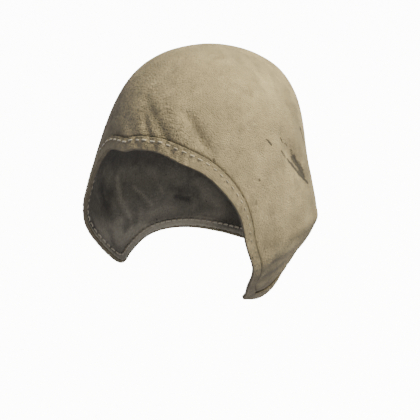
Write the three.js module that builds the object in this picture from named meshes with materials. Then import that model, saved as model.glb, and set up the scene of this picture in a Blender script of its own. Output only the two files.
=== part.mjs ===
// Linen hood in the shape it takes on a head. Millimetres, +Z up.
// The wearer faces -Y and the wearer's left is +X.
// The origin is the inside of the crown, where the hood rests on the head.

import * as THREE from "three";

// Cloth and hems
const WALL = 1.6;
const HEM_WIDTH = 10;
const HEM_CLOTH = 1.2;
const HEM_FOLD = 1.5;
const GAP = 0.3;
const HEM_END_GAP = 0.35;
const FLAP_CORNER = 9;
const HEM_ROUNDING = 1.1;
const HEM_TOP_ROUNDING = 0.6;

// The form is measured from a centre inside the head, this far below the origin.
const CENTRE_DEPTH = 113.9;

// Distance of the outside from the centre: a row for each elevation in degrees, then
// mm at the front, side and back, and what is added half way to each of them.
const FORM = [
  // elevation, front, side, back, front corner, back corner
  [-60, 92.9, 108.1, 93.2, 0.1, 4.5],
  [-45, 94.5, 99.9, 94.8, 1.9, 2.1],
  [-30, 96.0, 93.9, 96.4, 3.8, -0.8],
  [-15, 96.6, 96.1, 98.5, 3.1, -3.7],
  [0, 96.8, 91.8, 101.0, -0.3, -7.5],
  [15, 99.1, 88.3, 105.3, -2.2, -7.4],
  [30, 102.9, 90.2, 110.3, -2.6, -4.1],
  [45, 105.8, 97.9, 113.8, -2.6, -0.5],
  [60, 109.0, 107.3, 113.3, -1.9, -0.3],
  [75, 112.2, 112.4, 113.3, -0.9, -0.5],
  [90, 115.5, 115.5, 115.5, 0, 0],
];

// Finished edges of one side in degrees: around from the front, then elevation.
const FACE_EDGE = [
  [0, 40.1],
  [16.5, 36.9],
  [30.8, 31.4],
  [43.5, 16.6],
  [47.9, 0.9],
  [51.2, -14.9],
  [51.6, -29.4],
  [56.5, -46.4],
];
const NECK_EDGE = [
  [56.5, -46.4],
  [82.7, -50.5],
  [107.0, -49.2],
  [131.5, -50.5],
  [155.4, -54.0],
  [180.0, -56.1],
];

// Slack of the edges: distance from the brow, positive to the wearer's left, and width in mm,
// then rise and turn in degrees
const EDGE_WAVES = [
  [-48, 9, 1.4, 0],
  [-24, 8, -0.9, 0],
  [-5, 7, -0.5, 0],
  [115, 16, 0, -1.1],
  [150, 16, 0, -0.6],
  [186, 10, -0.4, -1.9],
  [208, 15, -2.6, 0],
  [-199, 10, -1.0, 0],
  [-256, 22, -0.6, 0],
];

// Distance from the brow, positive to the wearer's left, and width of the hem there, in mm
const HEM_LINE = [
  [-340, 10],
  [-200, 9.5],
  [-60, 10],
  [0, 10.2],
  [25, 11.8],
  [45, 11.0],
  [70, 10.4],
  [100, 8.4],
  [135, 7.2],
  [168, 6.6],
  [180, 8.6],
  [189, 10.8],
  [202, 11.4],
  [340, 10],
];

// Folds between two places in degrees. Width and height are mm, and a valley is below zero.
// A fold fades past its ends over FOLD_FADE times its width.
const FOLD_FADE = 1.4;
const FOLDS = [
  // from around, from elevation, to around, to elevation, width, height
  [-21, 59.0, -15.5, 57.2, 3.6, -0.6],
  [-15.2, 54.0, -10.6, 50.8, 2.8, -1.0],
  [-9.8, 50.2, -4.4, 46.0, 2.6, -1.2],
  [-10.5, 55.6, 6.6, 46.2, 3.4, -1.1],
  [16.4, 56.8, 30.0, 44.9, 3.4, -1.8],
  [19.5, 57.5, 32.0, 45.5, 8.0, -0.5],
  [8, 58, 15, 48, 7.0, 1.0],
  [-29, 48.2, -16.5, 45.2, 3.4, -0.5],
  [-11.6, 43.1, -8.3, 40.4, 2.2, -0.9],
  [-0.4, 43.4, 2.7, 40.7, 2.2, -0.8],
  [8.7, 43.2, 12, 40, 2.6, -0.7],
  [79, 43.5, 88, 31, 6.0, -1.0],
  [87, 32.6, 95, 13, 6.0, -1.6],
  [97, 36, 103, 18, 8.0, 1.0],
  [118, -18, 99, -8, 6.0, 1.8],
  [97, -6.5, 68, -4.5, 5.4, 1.2],
  [88, -18, 64, -19, 8.0, -2.6],
  [58.9, -12.6, 55.8, -27, 4.5, 1.5],
  [84, -28, 62, -29, 8.0, -2.2],
  [80, -46, 60, -47, 11.0, -1.8],
  [112, -46, 96, -46, 10.0, -2.4],
];

// Grid of the hood cloth
const POLE_ELEVATION = 60;
const CROWN_ROWS = 20;
const ROW_EASE = 0.9;
const FOREHEAD_LENGTH = 64;
const FOREHEAD_STEPS = 14;
const CHEEK_STEPS = 16;
const NECK_STEPS = 15;
const EDGE_STEPS = 260;
const NORMAL_STEP = 0.006;
const SEARCH_ANGLE = 0.6;
const SEARCH_STEPS = 26;

const LINEN = { color: 0xaca084, roughness: 0.93, metalness: 0 };
const HEM_LINEN = { color: 0xa69a7f, roughness: 0.93, metalness: 0 };

const radians = (degrees) => (degrees * Math.PI) / 180;

// A smooth curve through a table, level at an end where that is asked for.
function spline(places, values, levelStart = false, levelEnd = false) {
  const last = places.length - 1;
  const lower = new Array(last + 1).fill(0);
  const middle = new Array(last + 1).fill(1);
  const upper = new Array(last + 1).fill(0);
  const right = new Array(last + 1).fill(0);
  for (let i = 1; i < last; i += 1) {
    const before = places[i] - places[i - 1];
    const after = places[i + 1] - places[i];
    lower[i] = before;
    middle[i] = 2 * (before + after);
    upper[i] = after;
    right[i] = 6 * ((values[i + 1] - values[i]) / after - (values[i] - values[i - 1]) / before);
  }
  if (levelStart) {
    const width = places[1] - places[0];
    middle[0] = 2 * width;
    upper[0] = width;
    right[0] = (6 * (values[1] - values[0])) / width;
  } else {
    upper[0] = -1;
  }
  if (levelEnd) {
    const width = places[last] - places[last - 1];
    middle[last] = 2 * width;
    lower[last] = width;
    right[last] = (-6 * (values[last] - values[last - 1])) / width;
  } else {
    lower[last] = -1;
  }
  for (let i = 1; i <= last; i += 1) {
    const share = lower[i] / middle[i - 1];
    middle[i] -= share * upper[i - 1];
    right[i] -= share * right[i - 1];
  }
  const bend = new Array(last + 1).fill(0);
  bend[last] = right[last] / middle[last];
  for (let i = last - 1; i >= 0; i -= 1) {
    bend[i] = (right[i] - upper[i] * bend[i + 1]) / middle[i];
  }
  return (place) => {
    let i = 0;
    while (i < last - 1 && place > places[i + 1]) {
      i += 1;
    }
    const width = places[i + 1] - places[i];
    const a = (places[i + 1] - place) / width;
    const b = (place - places[i]) / width;
    const curve = (a ** 3 - a) * bend[i] + (b ** 3 - b) * bend[i + 1];
    return a * values[i] + b * values[i + 1] + (curve * width * width) / 6;
  };
}

const column = (table, index) => table.map((row) => row[index]);
const elevations = column(FORM, 0);
const frontRadius = spline(elevations, column(FORM, 1), false, true);
const sideRadius = spline(elevations, column(FORM, 2), false, true);
const backRadius = spline(elevations, column(FORM, 3), false, true);
const frontCorner = spline(elevations, column(FORM, 4));
const backCorner = spline(elevations, column(FORM, 5));

function direction(around, elevation) {
  const a = radians(around);
  const e = radians(elevation);
  return new THREE.Vector3(Math.sin(a) * Math.cos(e), -Math.cos(a) * Math.cos(e), Math.sin(e));
}

// Each fold is kept as an arc on the unit sphere.
const foldArcs = FOLDS.map(([around0, elevation0, around1, elevation1, width, height]) => {
  const start = direction(around0, elevation0);
  const end = direction(around1, elevation1);
  const normal = new THREE.Vector3().crossVectors(start, end).normalize();
  const ahead = new THREE.Vector3().crossVectors(normal, start);
  return { start, normal, ahead, span: start.angleTo(end), width, height };
});

function foldHeight(unit, radius) {
  let height = 0;
  for (const arc of foldArcs) {
    const across = Math.asin(THREE.MathUtils.clamp(unit.dot(arc.normal), -1, 1)) * radius;
    const along = Math.atan2(unit.dot(arc.ahead), unit.dot(arc.start)) / arc.span;
    const past = Math.max(0, Math.abs(along - 0.5) - 0.5) * arc.span * radius;
    height += arc.height * Math.exp(-((across / arc.width) ** 2) - (past / (FOLD_FADE * arc.width)) ** 2);
  }
  return height;
}

// The outside of the cloth in a direction from the centre.
function outside(unit) {
  const elevation = THREE.MathUtils.radToDeg(Math.asin(THREE.MathUtils.clamp(unit.z, -1, 1)));
  const around = Math.atan2(unit.x, -unit.y);
  const ends = Math.cos(around) ** 2;
  const corner = Math.sin(2 * around) ** 2;
  const inFront = Math.cos(around) >= 0;
  const end = inFront ? frontRadius(elevation) : backRadius(elevation);
  const added = inFront ? frontCorner(elevation) : backCorner(elevation);
  const radius = end * ends + sideRadius(elevation) * (1 - ends) + added * corner;
  const point = unit.clone().multiplyScalar(radius + foldHeight(unit, radius));
  point.z -= CENTRE_DEPTH;
  return point;
}

function outwardNormal(unit) {
  const helper = Math.abs(unit.z) < 0.9 ? new THREE.Vector3(0, 0, 1) : new THREE.Vector3(0, 1, 0);
  const first = new THREE.Vector3().crossVectors(helper, unit).normalize();
  const second = new THREE.Vector3().crossVectors(unit, first);
  const slope = (way) => {
    const ahead = outside(unit.clone().addScaledVector(way, NORMAL_STEP).normalize());
    return ahead.sub(outside(unit.clone().addScaledVector(way, -NORMAL_STEP).normalize()));
  };
  return slope(first).cross(slope(second)).normalize();
}

// Place on the cloth: depth is measured outwards from the inner face.
function clothPoint(unit, depth) {
  return outside(unit).addScaledVector(outwardNormal(unit), depth - WALL);
}

function edgeCurve(table, levelStart, levelEnd) {
  const places = table.map((row, index) => index / (table.length - 1));
  const around = spline(places, column(table, 0));
  const elevation = spline(places, column(table, 1), levelStart, levelEnd);
  return (share) => [around(share), elevation(share)];
}

const faceCurve = edgeCurve(FACE_EDGE, true, false);
const neckCurve = edgeCurve(NECK_EDGE, false, true);

// Distances along one half of the edge, from the brow by the flap tip to the nape.
function measureHalf() {
  const samples = [];
  let distance = 0;
  let previous = null;
  let tip = 0;
  for (let i = 0; i <= 2 * EDGE_STEPS; i += 1) {
    const onFace = i <= EDGE_STEPS;
    const angles = onFace ? faceCurve(i / EDGE_STEPS) : neckCurve(i / EDGE_STEPS - 1);
    const point = outside(direction(angles[0], angles[1]));
    distance += previous ? point.distanceTo(previous) : 0;
    previous = point;
    samples.push({ distance, angles });
    tip = i === EDGE_STEPS ? distance : tip;
  }
  return { samples, tip, length: distance };
}

const half = measureHalf();

function sharpEdge(distance) {
  const { samples } = half;
  let i = 0;
  while (i < samples.length - 2 && distance > samples[i + 1].distance) {
    i += 1;
  }
  const span = samples[i + 1].distance - samples[i].distance;
  const share = (distance - samples[i].distance) / span;
  return samples[i].angles.map((angle, k) => angle + share * (samples[i + 1].angles[k] - angle));
}

// Direction of the edge at a distance from the brow, positive towards the wearer's left.
function edgeUnit(signedDistance) {
  const distance = Math.abs(signedDistance);
  let angles = sharpEdge(distance);
  const past = distance - half.tip;
  if (Math.abs(past) < FLAP_CORNER) {
    const share = (past + FLAP_CORNER) / (2 * FLAP_CORNER);
    const before = sharpEdge(half.tip - FLAP_CORNER);
    const corner = sharpEdge(half.tip);
    const after = sharpEdge(half.tip + FLAP_CORNER);
    angles = before.map((angle, k) =>
      angle * (1 - share) ** 2 + 2 * corner[k] * share * (1 - share) + after[k] * share ** 2);
  }
  let around = Math.sign(signedDistance) * angles[0];
  let elevation = angles[1];
  for (const [place, width, rise, turn] of EDGE_WAVES) {
    const swell = Math.exp(-(((signedDistance - place) / width) ** 2));
    around += turn * swell;
    elevation += rise * swell;
  }
  return direction(around, elevation);
}

const edgePoints = [];
for (let i = 0; i < 2 * EDGE_STEPS; i += 1) {
  const distance = (i / EDGE_STEPS - 1) * half.length;
  edgePoints.push(outside(edgeUnit(distance)));
}

function distanceToEdge(point) {
  let nearest = Infinity;
  const closest = new THREE.Vector3();
  const line = new THREE.Line3();
  edgePoints.forEach((start, index) => {
    line.set(start, edgePoints[(index + 1) % edgePoints.length]);
    line.closestPointToPoint(point, true, closest);
    nearest = Math.min(nearest, closest.distanceTo(point));
  });
  return nearest;
}

// Linear interpolation in a table of places and values
function between(table, place) {
  const after = Math.max(1, table.findIndex(([start]) => start >= place));
  const [low, first] = table[after - 1];
  const [high, second] = table[after];
  return first + ((place - low) / (high - low)) * (second - first);
}

// Width of a hem as wide as HEM_WIDTH, at a place where the hem has its own width
function fitted(width, signedDistance) {
  const fixed = HEM_FOLD + GAP;
  const stretch = (between(HEM_LINE, signedDistance) - fixed) / (HEM_WIDTH - fixed);
  return width > fixed ? fixed + (width - fixed) * stretch : width;
}

// A column runs on the shortest way from the pole at the back of the crown to the edge.
const pole = direction(180, POLE_ELEVATION);

function makeColumn(signedDistance) {
  const end = edgeUnit(signedDistance);
  const span = pole.angleTo(end);
  const at = (angle) => {
    const unit = pole.clone().multiplyScalar(Math.sin(span - angle));
    return unit.addScaledVector(end, Math.sin(angle)).divideScalar(Math.sin(span)).normalize();
  };
  const inside = (width) => {
    const wanted = fitted(width, signedDistance);
    let low = 0;
    let high = SEARCH_ANGLE;
    for (let i = 0; i < SEARCH_STEPS; i += 1) {
      const middle = (low + high) / 2;
      const enough = distanceToEdge(outside(at(span - middle))) > wanted;
      low = enough ? low : middle;
      high = enough ? middle : high;
    }
    return span - (low + high) / 2;
  };
  return { at, span, inside };
}

// Widths from the finished edge at which the hems and the hood cloth have a row
const HEM_MIDDLE = HEM_WIDTH * 0.55;
const SHELL_WIDTHS = [HEM_WIDTH + 4, HEM_WIDTH, HEM_MIDDLE, HEM_FOLD + GAP];

function shellColumn(distance) {
  const { at, inside } = makeColumn(distance);
  const hemRows = SHELL_WIDTHS.map(inside);
  const units = [];
  for (let row = 1; row <= CROWN_ROWS; row += 1) {
    units.push(at(hemRows[0] * (row / (CROWN_ROWS + 1)) ** ROW_EASE));
  }
  hemRows.forEach((angle) => units.push(at(angle)));
  const outer = units.map((unit) => clothPoint(unit, WALL));
  const inner = units.map((unit) => clothPoint(unit, 0));
  return [...outer, ...inner.reverse()];
}

// Section of a hem: width from the finished edge, then depth from the inner face of the cloth
const HEM_TOP = WALL + GAP + HEM_CLOTH;
const HEM_SECTION = [
  [HEM_WIDTH, WALL + GAP],
  [HEM_WIDTH, HEM_TOP - HEM_TOP_ROUNDING],
  [HEM_WIDTH - HEM_TOP_ROUNDING, HEM_TOP],
  [HEM_MIDDLE, HEM_TOP],
  [HEM_ROUNDING, HEM_TOP],
  [0, HEM_TOP - HEM_ROUNDING],
  [0, HEM_ROUNDING],
  [HEM_ROUNDING, 0],
  [HEM_FOLD, 0],
  [HEM_FOLD, WALL + GAP],
  [HEM_MIDDLE, WALL + GAP],
];

function hemColumn(distance) {
  const { at, span, inside } = makeColumn(distance);
  const angles = new Map();
  return HEM_SECTION.map(([width, depth]) => {
    if (!angles.has(width)) {
      angles.set(width, width > 0 ? inside(width) : span);
    }
    return clothPoint(at(angles.get(width)), depth);
  });
}

function indexedGeometry(points, triangles) {
  const geometry = new THREE.BufferGeometry();
  geometry.setAttribute("position", new THREE.Float32BufferAttribute(points.flatMap((p) => p.toArray()), 3));
  geometry.setIndex(triangles);
  geometry.computeVertexNormals();
  return geometry;
}

function shellGeometry(distances) {
  const columns = distances.map(shellColumn);
  const size = columns[0].length;
  const points = columns.flat();
  const outerPole = points.push(clothPoint(pole, WALL)) - 1;
  const innerPole = points.push(clothPoint(pole, 0)) - 1;
  const triangles = [];
  columns.forEach((unused, index) => {
    const here = index * size;
    const next = ((index + 1) % columns.length) * size;
    triangles.push(outerPole, here, next);
    triangles.push(innerPole, next + size - 1, here + size - 1);
    for (let row = 0; row < size - 1; row += 1) {
      triangles.push(here + row, here + row + 1, next + row + 1);
      triangles.push(here + row, next + row + 1, next + row);
    }
  });
  return indexedGeometry(points, triangles);
}

function hemGeometry(distances) {
  const columns = distances.map(hemColumn);
  const size = HEM_SECTION.length;
  const triangles = [];
  for (let index = 0; index < columns.length - 1; index += 1) {
    const here = index * size;
    const next = here + size;
    for (let k = 0; k < size; k += 1) {
      const after = (k + 1) % size;
      triangles.push(here + k, here + after, next + k);
      triangles.push(here + after, next + after, next + k);
    }
  }
  const outline = HEM_SECTION.map(([width, depth]) => new THREE.Vector2(width, depth));
  const cap = THREE.ShapeUtils.triangulateShape(outline, []);
  const last = (columns.length - 1) * size;
  cap.forEach(([a, b, c]) => {
    triangles.push(c, b, a);
    triangles.push(last + a, last + b, last + c);
  });
  return indexedGeometry(columns.flat(), triangles);
}

function spread(start, end, steps) {
  return Array.from({ length: steps + 1 }, (unused, i) => start + ((end - start) * i) / steps);
}

// Distances of the columns along one half of each edge
const faceHalf = [
  ...spread(0, FOREHEAD_LENGTH, FOREHEAD_STEPS),
  ...spread(FOREHEAD_LENGTH, half.tip, CHEEK_STEPS).slice(1),
];
const neckHalf = spread(half.tip, half.length, NECK_STEPS);
const mirrored = (list) => list.map((value) => -value).reverse();

const faceEnd = half.tip - HEM_END_GAP;
const faceSide = [...faceHalf.slice(0, -1), faceEnd];
const faceDistances = [...mirrored(faceSide).slice(0, -1), ...faceSide];
const neckSide = [half.tip + HEM_END_GAP, ...neckHalf.slice(1)];
const neckDistances = [...neckSide, ...mirrored(neckSide).slice(1)];
const shellSide = [...faceHalf, ...neckHalf.slice(1)];
const shellDistances = [...shellSide, ...mirrored(shellSide.slice(1, -1))];

function piece(name, geometry, look) {
  const mesh = new THREE.Mesh(geometry, new THREE.MeshStandardMaterial(look));
  mesh.name = name;
  return mesh;
}

const hood = new THREE.Group();
hood.name = "linen_hood";
hood.add(piece("hood_shell", shellGeometry(shellDistances), LINEN));
hood.add(piece("face_hem", hemGeometry(faceDistances), HEM_LINEN));
hood.add(piece("neck_hem", hemGeometry(neckDistances), HEM_LINEN));

export default hood;
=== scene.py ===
import math

import bpy
import numpy as np
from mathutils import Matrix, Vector, noise


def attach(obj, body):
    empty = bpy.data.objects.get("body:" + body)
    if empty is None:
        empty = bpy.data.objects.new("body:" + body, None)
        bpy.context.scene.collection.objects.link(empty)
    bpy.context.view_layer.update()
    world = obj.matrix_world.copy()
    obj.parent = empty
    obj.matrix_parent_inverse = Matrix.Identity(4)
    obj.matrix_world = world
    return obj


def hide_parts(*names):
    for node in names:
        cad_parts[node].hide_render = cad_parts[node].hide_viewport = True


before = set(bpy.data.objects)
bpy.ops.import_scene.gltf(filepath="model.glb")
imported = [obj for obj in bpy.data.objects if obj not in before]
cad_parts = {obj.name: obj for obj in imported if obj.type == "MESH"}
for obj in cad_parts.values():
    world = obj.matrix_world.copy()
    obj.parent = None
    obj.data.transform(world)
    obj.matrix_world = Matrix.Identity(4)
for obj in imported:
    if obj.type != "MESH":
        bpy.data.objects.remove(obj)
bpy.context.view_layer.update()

# The hood's form is in millimetres and degrees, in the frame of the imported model: +Z up,
# the wearer faces -Y, the wearer's left is +X, and the origin is the inside of the crown.
MM = 0.001

# Cloth and hems
WALL = 1.6
HEM_WIDTH = 10
HEM_CLOTH = 1.2
HEM_FOLD = 1.5
GAP = 0.3
HEM_END_GAP = 0.12
FLAP_CORNER = 9
HEM_TOP = WALL + GAP + HEM_CLOTH

# The form is measured from a centre inside the head, this far below the origin.
CENTRE_DEPTH = 113.9

# Distance of the outside from the centre: a row for each elevation in degrees, then
# mm at the front, side and back, and what is added half way to each of them.
FORM = [
    # elevation, front, side, back, front corner, back corner
    (-60, 92.9, 108.1, 93.2, 0.1, 4.5),
    (-45, 94.5, 99.9, 94.8, 1.9, 2.1),
    (-30, 96, 93.9, 96.4, 3.8, -0.8),
    (-15, 96.6, 96.1, 98.5, 3.1, -3.7),
    (0, 96.8, 91.8, 101, -0.3, -7.5),
    (15, 99.1, 88.3, 105.3, -2.2, -7.4),
    (30, 102.9, 90.2, 110.3, -2.6, -4.1),
    (45, 105.8, 97.9, 113.8, -2.6, -0.5),
    (60, 109, 107.3, 113.3, -1.9, -0.3),
    (75, 112.2, 112.4, 113.3, -0.9, -0.5),
    (90, 115.5, 115.5, 115.5, 0, 0),
]

# Finished edges of one side in degrees: around from the front, then elevation.
FACE_EDGE = [
    (0, 40.1),
    (16.5, 36.9),
    (30.8, 31.4),
    (43.5, 16.6),
    (47.9, 0.9),
    (51.2, -14.9),
    (51.6, -29.4),
    (56.5, -46.4),
]
NECK_EDGE = [
    (56.5, -46.4),
    (82.7, -50.5),
    (107, -49.2),
    (131.5, -50.5),
    (155.4, -54),
    (180, -56.1),
]

# Slack of the edges: distance from the brow, positive to the wearer's left, and width in mm,
# then rise and turn in degrees
EDGE_WAVES = [
    (-48, 9, 1.4, 0),
    (-24, 8, -0.9, 0),
    (-5, 7, -0.5, 0),
    (115, 16, 0, -1.1),
    (150, 16, 0, -0.6),
    (186, 10, -0.4, -1.9),
    (208, 15, -2.6, 0),
    (-199, 10, -1, 0),
    (-256, 22, -0.6, 0),
]

# Distance from the brow, positive to the wearer's left, and width of the hem there, in mm
HEM_LINE = [
    (-340, 10),
    (-200, 9.5),
    (-60, 10),
    (0, 10.2),
    (25, 11.8),
    (45, 11),
    (70, 10.4),
    (100, 8.4),
    (135, 7.2),
    (168, 6.6),
    (180, 8.6),
    (189, 10.8),
    (202, 11.4),
    (340, 10),
]

# Folds between two places in degrees. Width and height are mm, and a valley is below zero.
# A fold fades out past its ends over FOLD_FADE times its width.
FOLD_FADE = 1.4
FOLDS = [
    # from around, from elevation, to around, to elevation, width, height
    (-21, 59, -15.5, 57.2, 3.6, -0.6),
    (-15.2, 54, -10.6, 50.8, 2.8, -1),
    (-9.8, 50.2, -4.4, 46, 2.6, -1.2),
    (-10.5, 55.6, 6.6, 46.2, 3.4, -1.1),
    (16.4, 56.8, 30, 44.9, 3.4, -1.8),
    (19.5, 57.5, 32, 45.5, 8, -0.5),
    (8, 58, 15, 48, 7, 1),
    (-29, 48.2, -16.5, 45.2, 3.4, -0.5),
    (-11.6, 43.1, -8.3, 40.4, 2.2, -0.9),
    (-0.4, 43.4, 2.7, 40.7, 2.2, -0.8),
    (8.7, 43.2, 12, 40, 2.6, -0.7),
    (79, 43.5, 88, 31, 6, -1),
    (87, 32.6, 95, 13, 6, -1.6),
    (97, 36, 103, 18, 8, 1),
    (118, -18, 99, -8, 6, 1.8),
    (97, -6.5, 68, -4.5, 5.4, 1.2),
    (88, -18, 64, -19, 8, -2.6),
    (58.9, -12.6, 55.8, -27, 4.5, 1.5),
    (84, -28, 62, -29, 8, -2.2),
    (80, -46, 60, -47, 11, -1.8),
    (112, -46, 96, -46, 10, -2.4),
]

# Soft unevenness of worn cloth: size and height in mm of each layer of noise, and how far
# apart the layers are taken from it
SLACK = [
    (46, 0.5),
    (17, 0.22),
    (7, 0.09),
]
SLACK_SHIFT = 31.7

# Gathers that the stitching draws up: spacing, height and reach above the hem in mm.
# They are strongest over the brow. At the nape and at the finished edge a share is left.
# They run early or late by some radians, and their mean strength is under 1.
PUCKER_SPACING = 6.6
PUCKER_HEIGHT = 0.34
PUCKER_REACH = 9
PUCKER_BROW = 100
PUCKER_AT_NAPE = 0.3
PUCKER_AT_EDGE = 0.45
PUCKER_DRIFT = 3
PUCKER_MEAN = 0.75

# The hem's face stands up beside its fold, and is drawn down along the stitches
HEM_PUFF = 0.15
PUFF_PLACE = 2.2
PUFF_WIDTH = 3.0
STITCH_DIP = 0.1
DIP_WIDTH = 1.5

# The cloth dips beside the hem's top edge, this far past it. Painted shade darkens the dip,
# the hem's top edge and the hem's rim at the finished edge, with these strengths and widths
GROOVE_PLACE = 0.4
GROOVE_WIDTH = 1.1
GROOVE_DEPTH = 0.35
HEM_GROOVE_SHADE = 0.7
HEM_GROOVE_WIDTH = 0.7
RIM_WIDTH = 0.9
FACE_RIM_SHADE = 0.55
NECK_RIM_SHADE = 0.12

# Dirt rubbed into the cloth along lines, and in the last three rows painted shade in the valleys of
# the gathers over the brow hem, in degrees, then half the width in mm and strength
SMUDGES_AND_SHADE = [
    # from around, from elevation, to around, to elevation, half width, strength
    (68.6, 45, 69.5, 44, 0.6, 0.35),
    (70, 43.5, 72.6, 40.5, 0.7, 1),
    (78.4, 43.4, 79.2, 42.2, 0.5, 0.4),
    (82.7, 41.1, 83.3, 39.7, 0.7, 0.8),
    (82.3, 39.3, 85.7, 37.6, 0.5, 0.7),
    (85.7, 37.6, 87.5, 35.8, 0.6, 0.7),
    (79.8, 35.4, 81.4, 32.3, 1.2, 0.7),
    (81.6, 32.2, 83.2, 30.1, 0.8, 0.6),
    (83.3, 30.2, 86.9, 26.4, 1.3, 0.8),
    (86.9, 26.4, 92.8, 18.5, 1.7, 0.9),
    (92.8, 18.5, 98.7, 10.7, 1.2, 0.9),
    (90, 32.6, 90.7, 29, 1.7, 0.6),
    (90.7, 29, 92.6, 24.6, 2.6, 0.8),
    (92.6, 24.6, 95.3, 18.9, 2.9, 0.85),
    (95.3, 18.9, 96.6, 14.7, 2.2, 0.8),
    (88, 27, 93.5, 19.4, 3, 0.32),
    (109.8, 35.5, 111, 29, 1.8, 0.7),
    (111, 29, 111.4, 26.5, 1.2, 0.5),
    (58.8, 27.7, 59.5, 26.9, 1, 0.5),
    (75.4, 38.6, 75.7, 38.2, 0.6, 0.5),
    (60.5, 24.4, 61.1, 24, 0.7, 0.4),
    (72.2, 25.7, 72.8, 25.1, 0.7, 0.35),
    (33.8, 39.3, 34.4, 38.6, 1, 0.7),
    # Painted shade in the valleys of the gathers over the brow hem
    (-10.4, 42.6, -6.9, 40.2, 1.6, 0.3),
    (0.8, 43, 4, 40.5, 1.6, 0.3),
    (10, 43, 13, 40, 1.8, 0.26),
]

# Painted shade: broad soft darkening under the near flap's crest, along the brow's folds and the hem
# across them, and on both sides of the crown, in degrees, then width in mm and strength
BROAD_PAINTED_SHADE = [
    # from around, from elevation, to around, to elevation, width, strength
    (106, -12, 74, -6.5, 7, 0.62),
    (64, -24, 60, -40, 6, 0.24),
    (74, -6.5, 60, -17, 6, 0.46),
    (60, -17, 56, -36, 4, 0.2),
    (80, -24, 66, -30, 12, 0.26),
    (-20, 59, -9, 55.2, 4.2, 0.28),
    (-9, 55.2, -2.6, 52.1, 3.8, 0.56),
    (-2.6, 52.1, 8, 46, 4, 0.58),
    (-16, 54.6, -10.6, 51, 3, 0.4),
    (-10.6, 51, -4.2, 46.6, 2.6, 0.5),
    (-19, 53.5, -10, 45.8, 4.5, 0.24),
    (2, 55, 11, 46.5, 8, 0.12),
    (14, 58.5, 21.6, 52, 3.2, 0.26),
    (21.6, 52, 30.4, 45, 3.4, 0.56),
    (-3, 41, 5, 41.5, 4, 0.3),
    (6, 41.5, 11, 41.2, 5, 0.56),
    (12, 40.8, 21, 38.8, 4.5, 0.18),
    (20, 56, 31, 46.5, 6, 0.1),
    (109, 44, 97, 30, 16, 0.46),
    (102, 20, 97, -3, 17, 0.4),
    (86, 0, 64, -2, 9, 0.36),
    (-50, 49, -38, 39, 15, 0.32),
    (-58, 66, -44, 52, 14, 0.2),
]

# Where the nap of the cloth is roughest, on the side the light grazes: its relief is a bump, and its
# speckle in the colour is painted shading of the grain. In degrees, then width in mm and strength
NAP = [
    # from around, from elevation, to around, to elevation, width, strength
    (-80, 40, -34, 64, 22, 0.9),
    (-34, 52, 8, 48, 22, 1),
    (18, 56, 30, 44, 11, 0.6),
]

# Painted light and shade on the inner face, lighter low on the flap and at the nape and darker higher
# up the wall, with narrow pale streaks and dark blotches, in degrees, then width in mm and tone
INNER_LIGHT_SHADE_AND_STREAKS = [
    # from around, from elevation, to around, to elevation, width, tone
    (-62, -29, -80, -42, 14, 0.85),
    (-80, -42, -104, -46, 9, 0.85),
    (-104, -46, -165, -46, 8, 0.55),
    (-94, -37, -128, -41, 8, 0.4),
    (-150, -30, -166, -42, 11, 0.45),
    (-90, 4, -130, -13, 18, -0.75),
    (-125, -13, -148, -22, 9, -0.3),
    (-98.5, -14.1, -94, -26.3, 4, 0.6),
    (-93.4, -26.3, -94.8, -35.8, 5, 0.6),
    (-106.7, -23.4, -111.6, -30.5, 1.8, 0.7),
    (-111.6, -30.5, -115.4, -36.3, 1.8, 0.6),
    (-89.9, -5.2, -80.4, -11.1, 1.6, 0.6),
    (-92, -12, -83, -20, 1.4, 0.4),
    (-120.7, -17.2, -125.7, -31.6, 2, 0.45),
    (-79, -33, -86, -35, 5, 0.6),
    (-134, -35.5, -142, -37.5, 3.4, -0.9),
    (-131, -30, -146, -34, 5, -0.5),
    (-113, -8, -121, -13, 8, -0.6),
    (-172, -34, -160, -24, 7, -0.7),
    (-107, -30, -110.9, -36.3, 3.8, -0.5),
    (-84, -12, -79, -27, 7, -0.6),
    (-103, -34, -98, -40.5, 3, -0.55),
    (-85, -39.8, -91, -38.5, 3, -0.6),
    (-70.6, -33.9, -66, -38, 4, -0.5),
    (-58.2, -22.1, -56, -19, 3, -0.8),
    (-86.8, -17.4, -91, -19.5, 3.5, -0.5),
]

# How much lighter the inner face is below the stitches: partly painted light, partly the band's cleaner
# cloth
INNER_EDGE_TONE = 0.6

# Running stitches in mm: how far inside the hem's top edge, how far apart, and the share of
# that which a stitch spans. Then the thread's width, its height as a share of the width, how
# far it is lifted off the cloth, and how far its ends sink in.
STITCH_INSET = 2.9
FACE_PITCH = 6.5
NECK_PITCH = 5.3
STITCH_SHARE = 0.64
THREAD = 1.3
INNER_THREAD = 1.75
THREAD_FLATNESS = 0.62
THREAD_LIFT = 0.15
INNER_THREAD_LIFT = 0.7
THREAD_SINK = 0.3

# How far the outer stitches are rubbed down into the cloth: distance from the brow in mm
# towards the wearer's left, then wear from 0 to 1
THREAD_WEAR = [
    (-330, 0.5),
    (-90, 0.5),
    (-62, 0),
    (-12, 0),
    (8, 0.3),
    (30, 0.42),
    (80, 0.55),
    (115, 0.75),
    (135, 0.95),
    (330, 0.8),
]

# Grids of the fine meshes. The shell has CROWN_ROWS rows, closer together near the hem, then
# rows these mm above the hem's top edge, and under the hem at shares of its width.
POLE_ELEVATION = 60
CROWN_ROWS = 84
CROWN_SPACING = 0.92
SHELL_STEP = 2.1
ROWS_ABOVE_HEM = [13, 9.5, 7, 5, 3.6, 2.6, 1.8, 1.2, 0.7, 0.3, -0.3]
SHARES_UNDER_HEM = [0.75, 0.4]
HEM_STEP = 1.1
HEM_ROUND = 0.75
HEM_TOP_ROUND = 0.7
HEM_OVERLAP = 0.2
FOLD_CLEARANCE = 0.25
EDGE_SAMPLES = 260

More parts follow.
